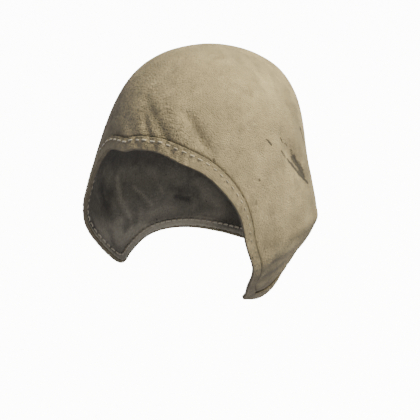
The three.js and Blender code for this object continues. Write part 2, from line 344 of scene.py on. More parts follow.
# Angles stand for lengths at these radii: in the crown's rows, and in the tables of dirt
MEAN_RADIUS = 100
STROKE_RADIUS = 0.88 * CENTRE_DEPTH

# Camera: the photograph's angle, and its scale in metres a pixel at the target
PHOTO_SIZE = 420
PHOTO_SCALE = 0.000831
SENSOR = 36
CAMERA_AZIMUTH = 27.45
CAMERA_ELEVATION = 30.81
CAMERA_DISTANCE = 0.9504
CAMERA_TARGET = Vector((0, 0.0125, -0.1457))


def direction(around, elevation):
    """Unit vectors by degrees around from the front and degrees up."""
    a, e = np.radians(around), np.radians(elevation)
    return np.stack([np.sin(a) * np.cos(e), -np.cos(a) * np.cos(e), np.sin(e)], -1)


def new_object(name, data):
    made = bpy.data.objects.new(name, data)
    bpy.context.collection.objects.link(made)
    return made


def make_camera():
    data = bpy.data.cameras.new("camera")
    data.sensor_width = SENSOR
    data.lens = SENSOR * CAMERA_DISTANCE / (PHOTO_SCALE * PHOTO_SIZE)
    camera = new_object("camera", data)
    towards = Vector(direction(CAMERA_AZIMUTH, CAMERA_ELEVATION))
    camera.location = CAMERA_TARGET + towards * CAMERA_DISTANCE
    camera.rotation_euler = towards.to_track_quat("Z", "Y").to_euler()
    bpy.context.scene.camera = camera


make_camera()


# Form of the hood


def spline(places, values, level_start=False, level_end=False):
    """A smooth curve through a table, level at an end where that is asked for."""
    places = np.array(places, float)
    values = np.array(values, float)
    gaps = np.diff(places)
    slopes = np.diff(values) / gaps
    count = len(places)
    matrix = np.eye(count)
    right = np.zeros(count)
    for i in range(1, count - 1):
        matrix[i, i - 1:i + 2] = gaps[i - 1], 2 * (gaps[i - 1] + gaps[i]), gaps[i]
        right[i] = 6 * (slopes[i] - slopes[i - 1])
    matrix[0, 1] = -1
    matrix[-1, -2] = -1
    if level_start:
        matrix[0, :2] = 2 * gaps[0], gaps[0]
        right[0] = 6 * slopes[0]
    if level_end:
        matrix[-1, -2:] = gaps[-1], 2 * gaps[-1]
        right[-1] = -6 * slopes[-1]
    bends = np.linalg.solve(matrix, right)

    def curve(at):
        i = np.clip(np.searchsorted(places, at) - 1, 0, count - 2)
        a = (places[i + 1] - at) / gaps[i]
        b = (at - places[i]) / gaps[i]
        bend = (a**3 - a) * bends[i] + (b**3 - b) * bends[i + 1]
        return a * values[i] + b * values[i + 1] + bend * gaps[i] ** 2 / 6

    return curve


elevations, fronts, sides, backs, front_corners, back_corners = zip(*FORM)
front_radius = spline(elevations, fronts, level_end=True)
side_radius = spline(elevations, sides, level_end=True)
back_radius = spline(elevations, backs, level_end=True)
front_corner = spline(elevations, front_corners)
back_corner = spline(elevations, back_corners)


def normalized(vectors):
    return vectors / np.linalg.norm(vectors, axis=-1, keepdims=True)


def along_arc(units, radius, row):
    """Distance across an arc of a table and past its ends, in mm."""
    start, end = direction(row[0], row[1]), direction(row[2], row[3])
    normal = normalized(np.cross(start, end))
    span = math.acos(float(start @ end))
    across = np.arcsin(np.clip(units @ normal, -1, 1)) * radius
    share = np.arctan2(units @ np.cross(normal, start), units @ start) / span
    past = np.maximum(0, np.abs(share - 0.5) - 0.5) * span * radius
    return across, past


def fold_height(units, radius):
    height = 0
    for row in FOLDS:
        across, past = along_arc(units, radius, row)
        width, rise = row[4:]
        height = height + rise * np.exp(-((across / width) ** 2) - (past / (FOLD_FADE * width)) ** 2)
    return height


def noise_at(places):
    """Soft noise at each place, which is the same on every run."""
    values = [noise.noise(Vector(place)) for place in places.reshape(-1, 3)]
    return np.array(values).reshape(places.shape[:-1])


def slack_height(units):
    height = 0
    for layer, (size, rise) in enumerate(SLACK):
        shift = [SLACK_SHIFT * (layer + 1), 0, 0]
        height = height + rise * noise_at(units * CENTRE_DEPTH / size + shift)
    return height


def outside(units, slack=True):
    """The outside of the cloth in directions from the centre."""
    elevation = np.degrees(np.arcsin(np.clip(units[..., 2], -1, 1)))
    around = np.arctan2(units[..., 0], -units[..., 1])
    ends = np.cos(around) ** 2
    corner = np.sin(2 * around) ** 2
    in_front = np.cos(around) >= 0
    end = np.where(in_front, front_radius(elevation), back_radius(elevation))
    added = np.where(in_front, front_corner(elevation), back_corner(elevation))
    radius = end * ends + side_radius(elevation) * (1 - ends) + added * corner
    radius = radius + fold_height(units, radius)
    if slack:
        radius = radius + slack_height(units)
    return units * radius[..., None] - [0, 0, CENTRE_DEPTH]


def outward_normal(units):
    step = 0.006
    steep = np.abs(units[..., 2:]) < 0.9
    helper = np.where(steep, [0, 0, 1.0], [0, 1.0, 0])
    first = normalized(np.cross(helper, units))
    second = np.cross(units, first)
    slopes = [
        outside(normalized(units + way * step)) - outside(normalized(units - way * step))
        for way in (first, second)
    ]
    return normalized(np.cross(*slopes))


# Edges of the hood


def lengths(points):
    """Distance along a line to each of its points."""
    return np.concatenate([[0], np.cumsum(np.linalg.norm(np.diff(points, axis=0), axis=1))])


def edge_curve(table, level_start, level_end):
    places = np.linspace(0, 1, len(table))
    around = spline(places, [row[0] for row in table])
    elevation = spline(places, [row[1] for row in table], level_start, level_end)
    shares = np.linspace(0, 1, EDGE_SAMPLES + 1)
    return np.stack([around(shares), elevation(shares)], -1)


half_edge = np.concatenate([edge_curve(FACE_EDGE, True, False), edge_curve(NECK_EDGE, False, True)[1:]])
half_distances = lengths(outside(direction(*half_edge.T), slack=False))
TIP = half_distances[EDGE_SAMPLES]
NAPE = half_distances[-1]


def sharp_edge(distances):
    """Around and elevation in degrees at distances from the brow, with a sharp flap tip."""
    return np.stack([np.interp(distances, half_distances, half_edge[:, k]) for k in (0, 1)], -1)


def edge_unit(signed_distances):
    """Directions of the edge at distances from the brow, positive to the wearer's left."""
    distances = np.abs(signed_distances)
    share = ((distances - TIP + FLAP_CORNER) / (2 * FLAP_CORNER))[..., None]
    before, tip, after = (sharp_edge(np.array(TIP + k * FLAP_CORNER)) for k in (-1, 0, 1))
    rounded = before * (1 - share) ** 2 + 2 * tip * share * (1 - share) + after * share**2
    near_tip = np.abs(distances - TIP)[..., None] < FLAP_CORNER
    angles = np.where(near_tip, rounded, sharp_edge(distances))
    around = np.sign(signed_distances) * angles[..., 0]
    elevation = angles[..., 1]
    for place, width, rise, turn in EDGE_WAVES:
        swell = np.exp(-(((signed_distances - place) / width) ** 2))
        elevation = elevation + rise * swell
        around = around + turn * swell
    return direction(around, elevation)


def hem_width(distances):
    return np.interp(distances, *zip(*HEM_LINE))[:, None]


def fitted(widths, distances):
    """Widths of a hem as wide as HEM_WIDTH, at places where the hem has its own width."""
    fixed = HEM_FOLD + GAP
    stretch = (hem_width(distances) - fixed) / (HEM_WIDTH - fixed)
    return np.where(widths > fixed, fixed + (widths - fixed) * stretch, widths)


edge_points = outside(edge_unit(np.linspace(-NAPE, NAPE, 2 * EDGE_SAMPLES + 1)), slack=False)


def distance_to_edge(points):
    """Shortest distance in mm from each point to the finished edge."""
    starts, runs = edge_points[:-1], np.diff(edge_points, axis=0)
    nearest = np.full(points.shape[:-1], np.inf)
    for start, run in zip(starts, runs):
        share = np.clip((points - start) @ run / (run @ run), 0, 1)
        gap = np.linalg.norm(points - start - share[..., None] * run, axis=-1)
        nearest = np.minimum(nearest, gap)
    return nearest


pole = direction(180, POLE_ELEVATION)


class Columns:
    """Ways over the cloth from the pole at the back of the crown to the finished edge.
    Widths from the edge are measured over REACH radians, in SAMPLES steps."""

    REACH = 0.34
    SAMPLES = 70

    def __init__(self, distances):
        self.ends = edge_unit(distances)
        self.spans = np.arccos(self.ends @ pole)
        self.backs = np.linspace(0, 1, self.SAMPLES) ** 1.5 * self.REACH
        samples = outside(self.at(self.spans[:, None] - self.backs), slack=False)
        self.gaps = np.maximum.accumulate(distance_to_edge(samples), axis=1)

    def at(self, angles):
        """Directions at angles from the pole, with a row of angles for each column."""
        spans = self.spans[:, None]
        mixed = np.sin(spans - angles)[..., None] * pole + np.sin(angles)[..., None] * self.ends[:, None]
        return normalized(mixed / np.sin(spans)[..., None])

    def angles(self, widths):
        """Angles from the pole at which each column is its row of widths from the edge."""
        backs = [np.interp(row, gaps, self.backs) for row, gaps in zip(widths, self.gaps)]
        return self.spans[:, None] - np.array(backs)


def ripple(distances):
    """Waves of uneven height along the stitching, about one to a stitch."""
    turns = distances / PUCKER_SPACING
    places = np.stack([turns * 0.9, np.full_like(turns, 2), turns * 0], -1)
    phase = 2 * np.pi * turns + PUCKER_DRIFT * noise_at(places)
    strength = PUCKER_MEAN + noise_at(places * 0.35 + 9)
    brow = np.exp(-((distances / PUCKER_BROW) ** 2))
    return (PUCKER_AT_NAPE + (1 - PUCKER_AT_NAPE) * brow) * np.cos(phase) * strength


def gathered(distances, widths):
    """Height of the gathers at distances along the edge and widths from it, in mm."""
    stitched = hem_width(distances) - STITCH_INSET
    past = np.maximum(0, widths - stitched) / PUCKER_REACH
    below = np.clip(widths / stitched, 0, 1)
    kept = PUCKER_AT_EDGE + (1 - PUCKER_AT_EDGE) * below
    return PUCKER_HEIGHT * ripple(distances)[:, None] * np.exp(-(past**2)) * kept


def puffed(distances, widths):
    """Height of the hem's face over its plain section, in mm."""
    stitched = hem_width(distances) - STITCH_INSET
    puff = np.exp(-(((widths - PUFF_PLACE) / PUFF_WIDTH) ** 2))
    drawn = np.exp(-(((widths - stitched) / DIP_WIDTH) ** 2))
    return HEM_PUFF * puff - STITCH_DIP * drawn


# Meshes


def keep(mesh, label, values):
    """Numbers kept on the vertices of a mesh under a name."""
    mesh.attributes.new(label, "FLOAT", "POINT").data.foreach_set("value", values.astype(np.float32))


def make_piece(name, points, faces, materials, face_materials=None, maps=None, marks=None):
    """A smooth mesh in metres, with its UV maps, and its marks on the vertices."""
    mesh = bpy.data.meshes.new(name)
    mesh.from_pydata((points * MM).tolist(), [], faces)
    for material in materials:
        mesh.materials.append(material)
    if face_materials is not None:
        mesh.polygons.foreach_set("material_index", np.array(face_materials, np.int32))
    mesh.polygons.foreach_set("use_smooth", np.ones(len(mesh.polygons), bool))
    corners = np.zeros(len(mesh.loops), np.int32)
    mesh.loops.foreach_get("vertex_index", corners)
    for label, values in (maps or {}).items():
        layer = mesh.uv_layers.new(name=label)
        layer.data.foreach_set("uv", values[corners].ravel().astype(np.float32))
    for label, values in (marks or {}).items():
        keep(mesh, label, values)
    mesh.update()
    return new_object(name, mesh)


def strokes(table, units):
    """A table's soft strokes: the strongest light and the strongest dark one at each place."""
    light, dark = 0, 0
    for row in table:
        across, past = along_arc(units, STROKE_RADIUS, row)
        width, strength = row[4:]
        stroke = strength * np.exp(-((across / width) ** 2) - (past / width) ** 2)
        light = np.maximum(light, stroke)
        dark = np.minimum(dark, stroke)
    return light + dark


def make_shell(materials):
    """The cloth of the hood, with its inner face as far from the outer one as it is thick."""
    count = int(2 * NAPE / SHELL_STEP)
    distances = (np.arange(count) / count * 2 - 1) * NAPE
    columns = Columns(distances)
    above = hem_width(distances) + ROWS_ABOVE_HEM
    under = hem_width(distances) * SHARES_UNDER_HEM
    last = np.full((count, 1), HEM_FOLD - HEM_OVERLAP)
    hem_widths = np.concatenate([above, under, last], axis=1)
    hem_angles = columns.angles(hem_widths)
    shares = (np.arange(1, CROWN_ROWS + 1) / (CROWN_ROWS + 1)) ** CROWN_SPACING
    angles = np.concatenate([hem_angles[:, :1] * shares, hem_angles], axis=1)
    units = columns.at(angles)
    rows = angles.shape[1]
    crown_widths = (columns.spans[:, None] - angles[:, :CROWN_ROWS]) * MEAN_RADIUS
    widths = np.concatenate([crown_widths, hem_widths], axis=1)
    normals = outward_normal(units)
    past_hem = widths - hem_width(distances)
    # The groove's profile dips the cloth and is painted as shade along it
    crease = np.exp(-(((past_hem - GROOVE_PLACE) / GROOVE_WIDTH) ** 2))
    heights = gathered(distances, widths) - GROOVE_DEPTH * crease
    outer = outside(units) + normals * heights[..., None]
    inner = outer - normals * WALL
    top = outside(pole[None])
    bottom = top - outward_normal(pole[None]) * WALL
    points = np.concatenate([outer.reshape(-1, 3), inner.reshape(-1, 3), top, bottom])
    outer_pole, inner_pole = len(points) - 2, len(points) - 1
    faces = []
    looks = []
    shift = count * rows
    for c in range(count):
        here, there = c * rows, (c + 1) % count * rows
        faces += [(outer_pole, here, there), (inner_pole, there + shift, here + shift)]
        looks += [0, 1]
        for r in range(rows - 1):
            a, b, d, e = here + r, here + r + 1, there + r + 1, there + r
            faces += [(a, b, d, e), (a + shift, e + shift, d + shift, b + shift)]
            looks += [0, 1]
        last, other = here + rows - 1, there + rows - 1
        faces.append((last, last + shift, other + shift, other))
        looks.append(0)
    # Painted light and shade on the inner face, and painted light on the band below the stitches
    painted_light_and_streaks = strokes(INNER_LIGHT_SHADE_AND_STREAKS, units) + INNER_EDGE_TONE * (past_hem < -STITCH_INSET)
    none = np.zeros(painted_light_and_streaks.shape)
    marks = {
        label: np.concatenate([on_outside.ravel(), on_inside.ravel(), [0, 0]])
        for label, on_outside, on_inside in (
            ("crease", np.maximum(crease, strokes(BROAD_PAINTED_SHADE, units)), none),
            ("nap", strokes(NAP, units), none),
            ("tone", none, painted_light_and_streaks))
    }
    return make_piece("hood_cloth", points, faces, materials, looks, marks=marks)


def hem_section():
    """Widths from the edge and depths from the inner face, round a hem's section."""
    turns = [(math.sin(a), math.cos(a)) for a in np.radians(np.linspace(0, 90, 6))]
    fold, top = HEM_ROUND, HEM_TOP_ROUND
    outer_round = [(fold - fold * s, HEM_TOP - fold + fold * c) for s, c in turns]
    inner_round = [(fold - fold * c, fold - fold * s) for s, c in turns]
    top_round = [(HEM_WIDTH - top + top * s, HEM_TOP - top + top * c) for s, c in turns[::-1]]
    leg = [(width, HEM_TOP) for width in np.linspace(HEM_WIDTH - top, fold, 20)[1:-1]]
    wall, floor = HEM_FOLD + FOLD_CLEARANCE, WALL - HEM_OVERLAP
    inside = [(wall, depth) for depth in (0, WALL * 0.6, floor)]
    under = [(width, floor) for width in np.linspace(wall, HEM_WIDTH, 8)[1:]]
    return np.array([*top_round, *leg, *outer_round, *inner_round[1:], *inside, *under])


def make_hem(name, distances, material, rim_shade):
    """A turned edge, which is drawn in along its stitches."""
    columns = Columns(distances)
    section = hem_section()
    depths = section[:, 1]
    widths = fitted(section[:, 0], distances)
    order = np.argsort(section[:, 0])
    angles = np.empty(widths.shape)
    angles[:, order] = columns.angles(widths[:, order])
    units = columns.at(angles)
    normals = outward_normal(units)
    free = np.clip((depths - WALL) / HEM_CLOTH, 0, 1)
    lift = depths - WALL + gathered(distances, widths) + puffed(distances, widths) * free
    points = outside(units) + normals * lift[..., None]
    size = len(section)
    faces = []
    last = (len(distances) - 1) * size
    for here in range(0, last, size):
        for k in range(size):
            after = (k + 1) % size
            faces.append((here + k, here + after, here + size + after, here + size + k))
    faces.append(tuple(range(size))[::-1])
    faces.append(tuple(last + k for k in range(size)))
    cloth_map = np.stack(np.broadcast_arrays(distances[:, None], lengths(section)), -1)
    past_hem = widths - hem_width(distances)
    # Painted shade along the hem's top edge and on its rim, joined with the broad painted shade
    crease = HEM_GROOVE_SHADE * np.exp(-((past_hem / HEM_GROOVE_WIDTH) ** 2))
    beside_face = depths < HEM_TOP - 0.1
    rim = rim_shade * np.exp(-((widths / RIM_WIDTH) ** 2)) * beside_face
    all_painted_shade = np.maximum(np.maximum(crease, rim), strokes(BROAD_PAINTED_SHADE, units))
    marks = {"crease": all_painted_shade.ravel(), "nap": strokes(NAP, units).ravel()}
    maps = {"cloth": cloth_map.reshape(-1, 2) * MM}
    return make_piece(name, points.reshape(-1, 3), faces, [material], maps=maps, marks=marks)


def stitch_line(name, distances, depth, side):
    """A line of edges on the cloth, with the way out of the cloth kept on its points."""
    columns = Columns(distances)
    widths = hem_width(distances) - STITCH_INSET
    units = columns.at(columns.angles(widths))[:, 0]
    normals = outward_normal(units)
    raised = THREAD_LIFT - STITCH_DIP if side > 0 else -INNER_THREAD_LIFT
    lift = depth - WALL + gathered(distances, widths)[:, 0] + raised
    points = (outside(units) + normals * lift[:, None]) * MM
    mesh = bpy.data.meshes.new(name)
    mesh.from_pydata(points.tolist(), [(i, i + 1) for i in range(len(points) - 1)], [])
    out = mesh.attributes.new("out", "FLOAT_VECTOR", "POINT")
    out.data.foreach_set("vector", (normals * side).ravel().astype(np.float32))
    keep(mesh, "worn", np.interp(distances, *zip(*THREAD_WEAR)) * (side > 0))
    return new_object(name, mesh)


# Node trees


def add(tree, kind, inputs=None, **settings):
    """A node with its settings, and its inputs as values, fields or other nodes' sockets."""
    made = tree.nodes.new(kind)
    for key, value in settings.items():
        setattr(made, key, value)
    for key, value in (inputs or {}).items():
        value = value.socket if isinstance(value, Field) else value
        if isinstance(value, bpy.types.NodeSocket):
            tree.links.new(value, made.inputs[key])
        else:
            made.inputs[key].default_value = value
    return made


class Field:
    """A number that varies over a surface: each step of arithmetic becomes a Math node."""

    def __init__(self, tree, socket):
        self.tree = tree
        self.socket = socket

    def step(self, operation, *others, clamp=False):
        inputs = dict(enumerate((self, *others)))
        made = add(self.tree, "ShaderNodeMath", inputs, operation=operation, use_clamp=clamp)
        return Field(self.tree, made.outputs[0])

    def __add__(self, other):
        return self.step("ADD", other)

    def __sub__(self, other):
        return self.step("SUBTRACT", other)

    def __mul__(self, other):
        return self.step("MULTIPLY", other)

    def cosine(self):
        return self.step("COSINE")

    def ramp(self, low, high):
        """0 below low, 1 above high, smooth between them."""
        inputs = {"Value": self, "From Min": low, "From Max": high}
        made = add(self.tree, "ShaderNodeMapRange", inputs, interpolation_type="SMOOTHSTEP")
        return Field(self.tree, made.outputs["Result"])


def new_tree(name, kind, inputs, outputs):
    """A node group with named sockets, and the outputs of its input node."""
    tree = bpy.data.node_groups.new(name, kind)
    for way, sockets in (("INPUT", inputs), ("OUTPUT", outputs)):
        for label, socket in sockets.items():
            tree.interface.new_socket(label, in_out=way, socket_type=f"NodeSocket{socket}")
    return tree, add(tree, "NodeGroupInput").outputs


def new_material(name, values):
    """A material, its tree, and its shader with the values set."""
    material = bpy.data.materials.new(name)
    material.use_nodes = True
    shader = material.node_tree.nodes["Principled BSDF"]
    for key, value in values.items():
        shader.inputs[key].default_value = value
    return material, material.node_tree, shader


def vectors(tree, operation, *inputs, output=0):
    """A step of arithmetic with vectors."""
    made = add(tree, "ShaderNodeVectorMath", dict(enumerate(inputs)), operation=operation)
    return made.outputs[output]


def scaled(tree, vector, amount):
    inputs = {0: vector, "Scale": amount}
    return add(tree, "ShaderNodeVectorMath", inputs, operation="SCALE").outputs[0]


def combined(tree, x=0, y=0, z=0):
    return add(tree, "ShaderNodeCombineXYZ", {"X": x, "Y": y, "Z": z}).outputs[0]


def mark(tree, label):
    """A number kept on the vertices."""
    return Field(tree, add(tree, "ShaderNodeAttribute", attribute_name=label).outputs["Fac"])


def mottling(tree, place, scale, detail, roughness, stretch=None):
    """Noise with scale features to a metre, or with those of stretch along x, y and z."""
    if stretch:
        place = vectors(tree, "MULTIPLY", place, stretch)
    made = add(tree, "ShaderNodeTexNoise", {
        "Vector": place, "Scale": scale, "Detail": detail, "Roughness": roughness})
    return Field(tree, made.outputs["Fac"])


def mix(tree, share, *colours):
    """From one colour to another, each given as a socket or as three numbers."""
    first, second = (
        colour if isinstance(colour, bpy.types.NodeSocket) else (*colour, 1) for colour in colours)
    inputs = {"Factor": share, 6: first, 7: second}
    return add(tree, "ShaderNodeMix", inputs, data_type="RGBA").outputs[2]


# Weave: threads to a metre, how far they stray from their lines in threads, and how often
# to a thread. Then a thread's mean height, and how far it rises and sinks.
THREADS = 900
STRAY = (1.6, 1.6, 0)
STRAY_PACE = 0.16
THREAD_MEAN = 0.72
THREAD_SWING = 0.42

# Thick and thin places of the threads are short across them and long along them
SLUBS = ((0.9, 0.05, 0), (0.05, 0.9, 0))

# Unevenness of the linen, each a noise
# number to a metre, detail, roughness
BROAD = (21, 3, 0.55)
BLOTCH = (95, 5, 0.62)
CLOUD = (62, 4, 0.6)
GRAIN = (680, 3, 0.7)
ROUGH = (640, 1, 0.5)
FUZZ = (1500, 1, 0.55)
SPECK = (310, 2, 0.4)
THREAD_BLOTCH = (160, 3, 0.55)

# How much the unevenness shades the cloth, and how much it lifts it. The threads' shade is painted
# shade in the gaps of the weave, and the nap's is painted shading of the grain
THREAD_SHADE, THREAD_RELIEF = 0.06, 0.2
SLUB_SHADE, SLUB_RELIEF = 0.2, 0.25
GRAIN_SHADE, GRAIN_RELIEF = 0.36, 0.9
NAP_SHADE, NAP_RELIEF = 1.5, 0.9
FUZZ_SHADE, FUZZ_RELIEF = 0.26, 0.3
MEAN_SHADE = 0.955
RELIEF_HEIGHT = 0.0012

# Stains are torn into streaks: how many to a metre along x, y and z, and their lean.
# Their borders are frayed by FRAY metres, FRAYS times a metre.
STREAKS = (420, 620, 70)
STREAK_LEAN = math.radians(-25)
FRAY = 0.0011
FRAYS = 700

# Colours of the linen: pale, light, middle and dark. The inner linen is darker, partly grime and partly
# painted shade, and its pale colour is the painted light of the inner face
LIGHT = (0.55, 0.465, 0.285)
OUTER_LINEN = (LIGHT, LIGHT, (0.46, 0.39, 0.245), (0.31, 0.265, 0.175))
INNER_LINEN = (
    (0.84, 0.775, 0.6), (0.45, 0.415, 0.33), (0.27, 0.252, 0.208), (0.17, 0.159, 0.136))
# Dark colour of dirt, also used for the painted shade
DIRT_AND_SHADE = (0.055, 0.052, 0.048)
THREAD_DULL = (0.9, 0.81, 0.61)
THREAD_FRESH = (0.97, 0.9, 0.72)
LINEN_SHEEN = {
    "Roughness": 0.92, "Specular IOR Level": 0.18, "Sheen Weight": 0.12, "Sheen Roughness": 0.6}
THREAD_SHEEN = {"Roughness": 0.7, "Specular IOR Level": 0.3, "Sheen Weight": 0.15}


def weave_group():
    """Plain weave: Place is counted in threads, Height is 0 in the gaps and 1 on the threads."""
    outputs = {"Height": "Float", "Slub": "Float"}
    tree, given = new_tree("plain_weave", "ShaderNodeTree", {"Place": "Vector"}, outputs)
    wander = add(tree, "ShaderNodeTexNoise", {
        "Vector": given["Place"], "Scale": STRAY_PACE, "Detail": 2})
    drift = vectors(tree, "MULTIPLY", wander.outputs["Color"], STRAY)
    moved = vectors(tree, "ADD", given["Place"], drift)
    parts = add(tree, "ShaderNodeSeparateXYZ", {"Vector": moved}).outputs
    x, y = (Field(tree, parts[name]) for name in "XY")
    warp, weft = x.step("FLOOR"), y.step("FLOOR")
    warp_round = ((x - warp - 0.5) * math.pi).cosine()
    weft_round = ((y - weft - 0.5) * math.pi).cosine()
    warp_wave = ((y - 0.5 + warp) * math.pi).cosine()
    weft_wave = ((x + 0.5 + weft) * math.pi).cosine()
    warp_height = warp_round * (warp_wave * THREAD_SWING + THREAD_MEAN)
    weft_height = weft_round * (weft_wave * THREAD_SWING + THREAD_MEAN)
    warp_slub, weft_slub = (mottling(tree, moved, 1, 1, 0.5, stretch) for stretch in SLUBS)
    upper = (warp_height - weft_height).ramp(-0.2, 0.2)
    slub = warp_slub * upper + weft_slub * (upper * -1 + 1)
    height = warp_height.step("MAXIMUM", weft_height)
    add(tree, "NodeGroupOutput", {"Height": height, "Slub": slub})
    return tree


def woven(tree, group, place):
    """Height and thickness of the threads at a place in metres."""
    made = add(tree, "ShaderNodeGroup", {"Place": scaled(tree, place, THREADS)}, node_tree=group)
    return Field(tree, made.outputs["Height"]), Field(tree, made.outputs["Slub"])


def weave_around(tree, group, coordinates):
    """Weave laid on the cloth from the three sides that it mostly faces."""
    place, facing = (
        add(tree, "ShaderNodeSeparateXYZ", {"Vector": coordinates[label]}).outputs
        for label in ("Object", "Normal"))
    heights, slubs, weights = [], [], []
    for axis, across, up in (("X", "Y", "Z"), ("Y", "X", "Z"), ("Z", "X", "Y")):
        height, slub = woven(tree, group, combined(tree, place[across], place[up]))
        heights.append(height)
        slubs.append(slub)
        weights.append(Field(tree, facing[axis]).step("ABSOLUTE").step("POWER", 6))
    total = weights[0] + weights[1] + weights[2]
    mixed = []
    for values in (heights, slubs):
        summed = values[0] * weights[0] + values[1] * weights[1] + values[2] * weights[2]
        mixed.append(summed.step("DIVIDE", total))
    return mixed


def weave_along(tree, group):
    """Weave that follows a hem by its own map."""
    along = add(tree, "ShaderNodeUVMap", uv_map="cloth")
    return woven(tree, group, along.outputs["UV"])


def stroke_group():
    """A dark line, for dirt and for painted shade: its output is Strength on the line and falls to 0 at
    Width from it.
    """
    inputs = {"Place": "Vector", "Start": "Vector", "Run": "Vector", "Width": "Float", "Strength": "Float"}
    tree, given = new_tree("dirt_and_shade_stroke", "ShaderNodeTree", inputs, {"Darkening": "Float"})
    run = given["Run"]
    offset = vectors(tree, "SUBTRACT", given["Place"], given["Start"])
    passed = Field(tree, vectors(tree, "DOT_PRODUCT", offset, run, output="Value"))
    whole = Field(tree, vectors(tree, "DOT_PRODUCT", run, run, output="Value"))
    nearest = scaled(tree, run, passed.step("DIVIDE", whole, clamp=True))
    gap = vectors(tree, "DISTANCE", offset, nearest, output="Value")
    faded = add(tree, "ShaderNodeMapRange", {
        "Value": gap, "From Min": 0, "From Max": given["Width"],
        "To Min": given["Strength"], "To Max": 0}, interpolation_type="SMOOTHSTEP")
    add(tree, "NodeGroupOutput", {"Darkening": faded.outputs["Result"]})
    return tree


def rubbed_dirt_and_shade(tree, group, place):
    """The strongest of the strokes at each place, with frayed borders."""
    ragged = add(tree, "ShaderNodeTexNoise", {"Vector": place, "Scale": FRAYS, "Detail": 2})
    shift = vectors(tree, "MULTIPLY_ADD", ragged.outputs["Color"], (2 * FRAY,) * 3, (-FRAY,) * 3)
    frayed = vectors(tree, "ADD", place, shift)
    ends = np.array(SMUDGES_AND_SHADE)
    starts = outside(direction(ends[:, 0], ends[:, 1]), slack=False) * MM
    runs = outside(direction(ends[:, 2], ends[:, 3]), slack=False) * MM - starts
    strongest = None
    for start, run, row in zip(starts, runs, SMUDGES_AND_SHADE):
        half_width, strength = row[4:]
        made = add(tree, "ShaderNodeGroup", {
            "Place": frayed, "Start": start, "Run": run,
            "Width": 2 * half_width * MM, "Strength": strength}, node_tree=group)
        stroke = Field(tree, made.outputs["Darkening"])
        strongest = strongest.step("MAXIMUM", stroke) if strongest else stroke
    return strongest


def stained_and_shaded(tree, group, place, grain, colour):
    """Strokes of dirt, and of painted shade in the brow hem's valleys, torn into thin streaks."""
    smudge = rubbed_dirt_and_shade(tree, group, place)
    leaned = add(tree, "ShaderNodeVectorRotate", {
        "Vector": place, "Angle": STREAK_LEAN}, rotation_type="X_AXIS")
    streak = mottling(tree, leaned.outputs[0], 1, 3, 0.6, STREAKS)
    torn = streak * 1.3 + grain * 0.35
    share = (smudge * 1.15 + torn - 0.88).ramp(0.1, 0.8) * smudge.ramp(0.02, 0.4)
    return mix(tree, share * 0.93, colour, DIRT_AND_SHADE)


def linen_tone(tree, place, colours, patches, drawn):
    """Colour of the cloth before dirt and painted shade: broad and small patches, streaks, clouds, and
    placed tones, which on the inner face are painted light and shade.
    """
    pale, light, middle, dark = colours
    streaks_across, streaks_along, streak_strength = drawn
    blotch = mottling(tree, place, *BLOTCH)
    tone = mix(tree, mottling(tree, place, *BROAD).ramp(0.36, 0.64), middle, light)
    tone = mix(tree, blotch.ramp(*patches) * 0.62, tone, dark)
    streaks = mottling(tree, place, 1, 4, 0.6, (streaks_across, streaks_across, streaks_along))
    tone = mix(tree, streaks.ramp(0.46, 0.66) * streak_strength, tone, light)
    cloud = mottling(tree, place, *CLOUD)
    tone = scaled(tree, tone, cloud.ramp(0.44, 0.66) * 0.17 + 0.89)
    # Painted light and shade of the inner face, with its streaks, towards the pale and the dark colour
    placed = mark(tree, "tone")
    tone = mix(tree, (placed * (blotch + 0.5)).ramp(0, 1), tone, pale)
    return mix(tree, (placed * (blotch * -1 - 0.5)).ramp(0, 1), tone, dark)


def linen(name, group, colours, stroke=None, follows_hem=False, patches=(0.42, 0.7), drawn=(75, 18, 0.35)):
    """Coarse worn linen. patches says where the noise turns dark, and drawn is for light
    streaks down the cloth: how many to a metre across and along, and strength."""
    material, tree, shader = new_material(name, LINEN_SHEEN)
    coordinates = add(tree, "ShaderNodeTexCoord").outputs
    place = coordinates["Object"]
    height, slub = weave_along(tree, group) if follows_hem else weave_around(tree, group, coordinates)
    grain = mottling(tree, place, *GRAIN)
    # The nap's speckle in the colour is painted shading of the grain where the light grazes
    nap = mark(tree, "nap")
    rough = mottling(tree, place, *ROUGH)
    fuzz = mottling(tree, place, *FUZZ)
    shade = (grain - 0.5) * GRAIN_SHADE + (rough - 0.5) * nap * NAP_SHADE + (fuzz - 0.5) * FUZZ_SHADE
    shade = shade + (slub - 0.5) * SLUB_SHADE + height * THREAD_SHADE + MEAN_SHADE
    colour = scaled(tree, linen_tone(tree, place, colours, patches, drawn), shade)
    if stroke:
        colour = stained_and_shaded(tree, stroke, place, grain, colour)
    speck = mottling(tree, place, *SPECK)
    colour = mix(tree, speck.ramp(0.735, 0.775) * 0.5, colour, DIRT_AND_SHADE)
    # Painted shade: the marked grooves, rims and broad shaded places darken towards the dark colour
    colour = mix(tree, mark(tree, "crease") * (grain * 1.6), colour, DIRT_AND_SHADE)
    tree.links.new(colour, shader.inputs["Base Color"])
    relief = height * THREAD_RELIEF + slub * SLUB_RELIEF + grain * GRAIN_RELIEF
    relief = relief + rough * nap * NAP_RELIEF + fuzz * FUZZ_RELIEF
    bump = add(tree, "ShaderNodeBump", {"Height": relief, "Strength": 1, "Distance": RELIEF_HEIGHT})
    tree.links.new(bump.outputs["Normal"], shader.inputs["Normal"])
    return material


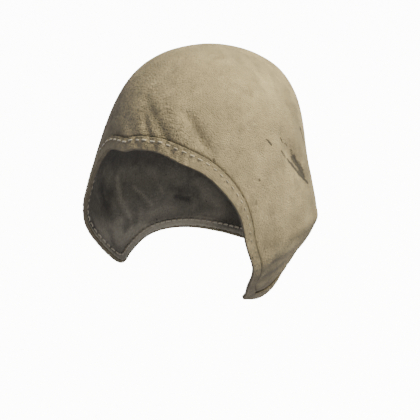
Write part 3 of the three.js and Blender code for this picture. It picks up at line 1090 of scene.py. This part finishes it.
def thread_material():
    """Thick two-ply linen thread: the plies turn round it as along and round count."""
    material, tree, shader = new_material("linen_thread", THREAD_SHEEN)
    place = add(tree, "ShaderNodeTexCoord").outputs["Object"]
    turns = mark(tree, "along") * 3 + mark(tree, "round") * 2
    twist = (turns * (2 * math.pi)).cosine() * 0.5 + 0.5
    blotch = mottling(tree, place, *THREAD_BLOTCH)
    tone = mix(tree, blotch.ramp(0.35, 0.65), THREAD_DULL, THREAD_FRESH)
    tone = mix(tree, mark(tree, "worn") * 0.75, tone, LIGHT)
    # Painted shade in the grooves between the plies, where the twist's bump is low
    colour = scaled(tree, tone, twist * 0.2 + 0.83)
    tree.links.new(colour, shader.inputs["Base Color"])
    bump = add(tree, "ShaderNodeBump", {"Height": twist, "Strength": 0.8, "Distance": 0.0003})
    tree.links.new(bump.outputs["Normal"], shader.inputs["Normal"])
    return material


# Stitches

# How high a stitch bows in threads, how far it sways in radians, and how much wear takes off
# it. Its length, width and height vary between two shares.
STITCH_BOW = 0.9
STITCH_SWAY = 0.09
STITCH_WEAR = 0.7
STITCH_LEAST = (0.8, 0.85, THREAD_FLATNESS - 0.06)
STITCH_MOST = (1.12, 1.1, THREAD_FLATNESS + 0.06)


def with_share(tree, curve, label):
    """A curve whose points keep their share of the way along it."""
    share = add(tree, "GeometryNodeSplineParameter").outputs["Factor"]
    inputs = {"Geometry": curve.outputs[0], "Name": label, "Value": share}
    return add(tree, "GeometryNodeStoreNamedAttribute", inputs, data_type="FLOAT").outputs[0]


def stitch_tree(material):
    """Running stitches along a line: each is a short bowed thread whose ends go into the cloth."""
    numbers = ("Pitch", "Length", "Thread", "Sink", "Turn")
    inputs = {"Geometry": "Geometry", **{label: "Float" for label in numbers}, "Seed": "Int"}
    tree, given = new_tree("running_stitch", "GeometryNodeTree", inputs, {"Geometry": "Geometry"})
    pitch, length, width, sink, sway = (Field(tree, given[label]) for label in numbers)
    seed = given["Seed"]

    line = add(tree, "GeometryNodeMeshToCurve", {"Mesh": given["Geometry"]})
    spaced = add(tree, "GeometryNodeResampleCurve", {
        "Curve": line.outputs[0], "Length": pitch}, mode="LENGTH")
    out = add(tree, "GeometryNodeInputNamedAttribute", {"Name": "out"}, data_type="FLOAT_VECTOR")
    tangent = add(tree, "GeometryNodeInputTangent")
    laid = add(tree, "FunctionNodeAxesToRotation", {
        "Primary Axis": out.outputs["Attribute"], "Secondary Axis": tangent.outputs[0]},
        primary_axis="Z", secondary_axis="X")
    yaw = add(tree, "FunctionNodeRandomValue", {2: sway * -1, 3: sway, "Seed": seed})
    turned = add(tree, "FunctionNodeRotateRotation", {
        "Rotation": laid.outputs[0], "Rotate By": combined(tree, z=yaw.outputs[1])},
        rotation_space="LOCAL")

    bow = add(tree, "GeometryNodeCurveQuadraticBezier", {
        "Resolution": 8, "Start": combined(tree, x=length * -0.5, z=sink * -1),
        "Middle": combined(tree, z=width * STITCH_BOW),
        "End": combined(tree, x=length * 0.5, z=sink * -1)})
    ring = add(tree, "GeometryNodeCurvePrimitiveCircle", {"Resolution": 8, "Radius": width * 0.5})
    thread = add(tree, "GeometryNodeCurveToMesh", {
        "Curve": with_share(tree, bow, "along"), "Profile Curve": with_share(tree, ring, "round"),
        "Fill Caps": True})

    uneven = add(tree, "FunctionNodeRandomValue", {
        0: combined(tree, *STITCH_LEAST), 1: combined(tree, *STITCH_MOST), "Seed": seed},
        data_type="FLOAT_VECTOR")
    wear = add(tree, "GeometryNodeInputNamedAttribute", {"Name": "worn"}, data_type="FLOAT")
    left = Field(tree, wear.outputs["Attribute"]).step("MULTIPLY_ADD", -STITCH_WEAR, 1)
    placed = add(tree, "GeometryNodeInstanceOnPoints", {
        "Points": spaced.outputs[0], "Instance": thread.outputs[0],
        "Rotation": turned.outputs[0], "Scale": scaled(tree, uneven.outputs[0], left)})
    real = add(tree, "GeometryNodeRealizeInstances", {"Geometry": placed.outputs[0]})
    smooth = add(tree, "GeometryNodeSetShadeSmooth", {"Geometry": real.outputs[0]})
    dressed = add(tree, "GeometryNodeSetMaterial", {
        "Geometry": smooth.outputs[0], "Material": material})
    add(tree, "NodeGroupOutput", {0: dressed.outputs[0]})
    return tree


def run_stitches(name, line, tree, pitch, width, seed):
    """The stitches of one line as a plain mesh."""
    modifier = line.modifiers.new("stitches", "NODES")
    modifier.node_group = tree
    values = {
        "Pitch": pitch * MM, "Length": pitch * STITCH_SHARE * MM, "Thread": width * MM,
        "Sink": THREAD_SINK * MM, "Turn": STITCH_SWAY, "Seed": seed}
    for item in tree.interface.items_tree:
        if item.in_out == "INPUT" and item.name in values:
            modifier[item.identifier] = values[item.name]
    bpy.context.view_layer.update()
    graph = bpy.context.evaluated_depsgraph_get()
    mesh = bpy.data.meshes.new_from_object(line.evaluated_get(graph))
    bpy.data.objects.remove(line)
    return new_object(name, mesh)


# The pieces

weave = weave_group()
dirt_and_shade_stroke = stroke_group()
outer_linen = linen("linen_outside", weave, OUTER_LINEN, dirt_and_shade_stroke)
inner_linen = linen("linen_inside", weave, INNER_LINEN, patches=(0.5, 0.8), drawn=(230, 20, 0.4))
hem_linen = linen("linen_hem", weave, OUTER_LINEN, dirt_and_shade_stroke, follows_hem=True)
thread = thread_material()

hood = make_shell([outer_linen, inner_linen])
face_span = TIP - HEM_END_GAP
face_distances = np.linspace(-face_span, face_span, int(2 * face_span / HEM_STEP))
neck_start = TIP + HEM_END_GAP
neck_count = int(2 * (NAPE - neck_start) / HEM_STEP)
neck_distances = np.linspace(neck_start, 2 * NAPE - neck_start, neck_count)
neck_distances -= 2 * NAPE * (neck_distances > NAPE)
face_hem = make_hem("face_hem_cloth", face_distances, hem_linen, FACE_RIM_SHADE)
neck_hem = make_hem("neck_hem_cloth", neck_distances, hem_linen, NECK_RIM_SHADE)

stitching = stitch_tree(thread)
STITCH_ROWS = [
    # name, distances, depth, side, pitch, thread, seed
    ("face_stitches", face_distances[5:-5], HEM_TOP, 1, FACE_PITCH, THREAD, 3),
    ("face_stitches_inside", face_distances[2:-2], 0, -1, FACE_PITCH, INNER_THREAD, 5),
    ("neck_stitches", neck_distances[5:-5], HEM_TOP, 1, NECK_PITCH, THREAD, 8),
    ("neck_stitches_inside", neck_distances[2:-2], 0, -1, NECK_PITCH, INNER_THREAD, 13),
]
stitches = []
for name, distances, depth, side, pitch, width, seed in STITCH_ROWS:
    line = stitch_line(f"{name}_line", distances, depth, side)
    stitches.append(run_stitches(name, line, stitching, pitch, width, seed))


for piece, slot in ((hood, "linen"), (face_hem, "hem_linen"), (neck_hem, "hem_linen")):
    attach(piece, "root")
for piece in stitches:
    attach(piece, "root")
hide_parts("hood_shell")
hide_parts("face_hem")
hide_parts("neck_hem")


# Floor and light

FLOOR_DEPTH = -0.52
FLOOR_HALF = 4
FLOOR_LOOK = {
    "Base Color": (0.8, 0.8, 0.8, 1), "Roughness": 0.9,
    "Emission Color": (1, 1, 1, 1), "Emission Strength": 12}
LAMPS = [
    # name, azimuth, elevation, distance, size, power, colour
    ("key_light", 124, 54, 1.9, 1, 68, (1, 0.9, 0.62)),
    ("fill_light", 40, -12, 1.9, 1.4, 3.6, (1, 0.97, 0.9)),
]
SKY_COLOUR = (0.78, 0.79, 0.9, 1)
SKY_STRENGTH = 0.4


def make_floor():
    """A pale floor, bright of itself, that neither lights nor shades the cloth."""
    corners = [(-1, -1), (1, -1), (1, 1), (-1, 1)]
    mesh = bpy.data.meshes.new("floor")
    points = [(x * FLOOR_HALF, y * FLOOR_HALF, FLOOR_DEPTH) for x, y in corners]
    mesh.from_pydata(points, [], [(0, 1, 2, 3)])
    mesh.materials.append(new_material("pale_floor", FLOOR_LOOK)[0])
    floor = new_object("floor", mesh)
    floor.visible_shadow = False
    floor.visible_diffuse = False
    floor.visible_glossy = False


def make_lamp(name, azimuth, elevation, distance, size, power, colour):
    data = bpy.data.lights.new(name, "AREA")
    data.shape = "DISK"
    data.size = size
    data.energy = power
    data.color = colour
    lamp = new_object(name, data)
    towards = Vector(direction(azimuth, elevation))
    lamp.location = CAMERA_TARGET + towards * distance
    lamp.rotation_euler = towards.to_track_quat("Z", "Y").to_euler()


def make_sky():
    """Soft even light from all round."""
    world = bpy.data.worlds.new("studio")
    world.use_nodes = True
    background = world.node_tree.nodes["Background"]
    background.inputs["Color"].default_value = SKY_COLOUR
    background.inputs["Strength"].default_value = SKY_STRENGTH
    bpy.context.scene.world = world


make_floor()
for lamp in LAMPS:
    make_lamp(*lamp)
make_sky()
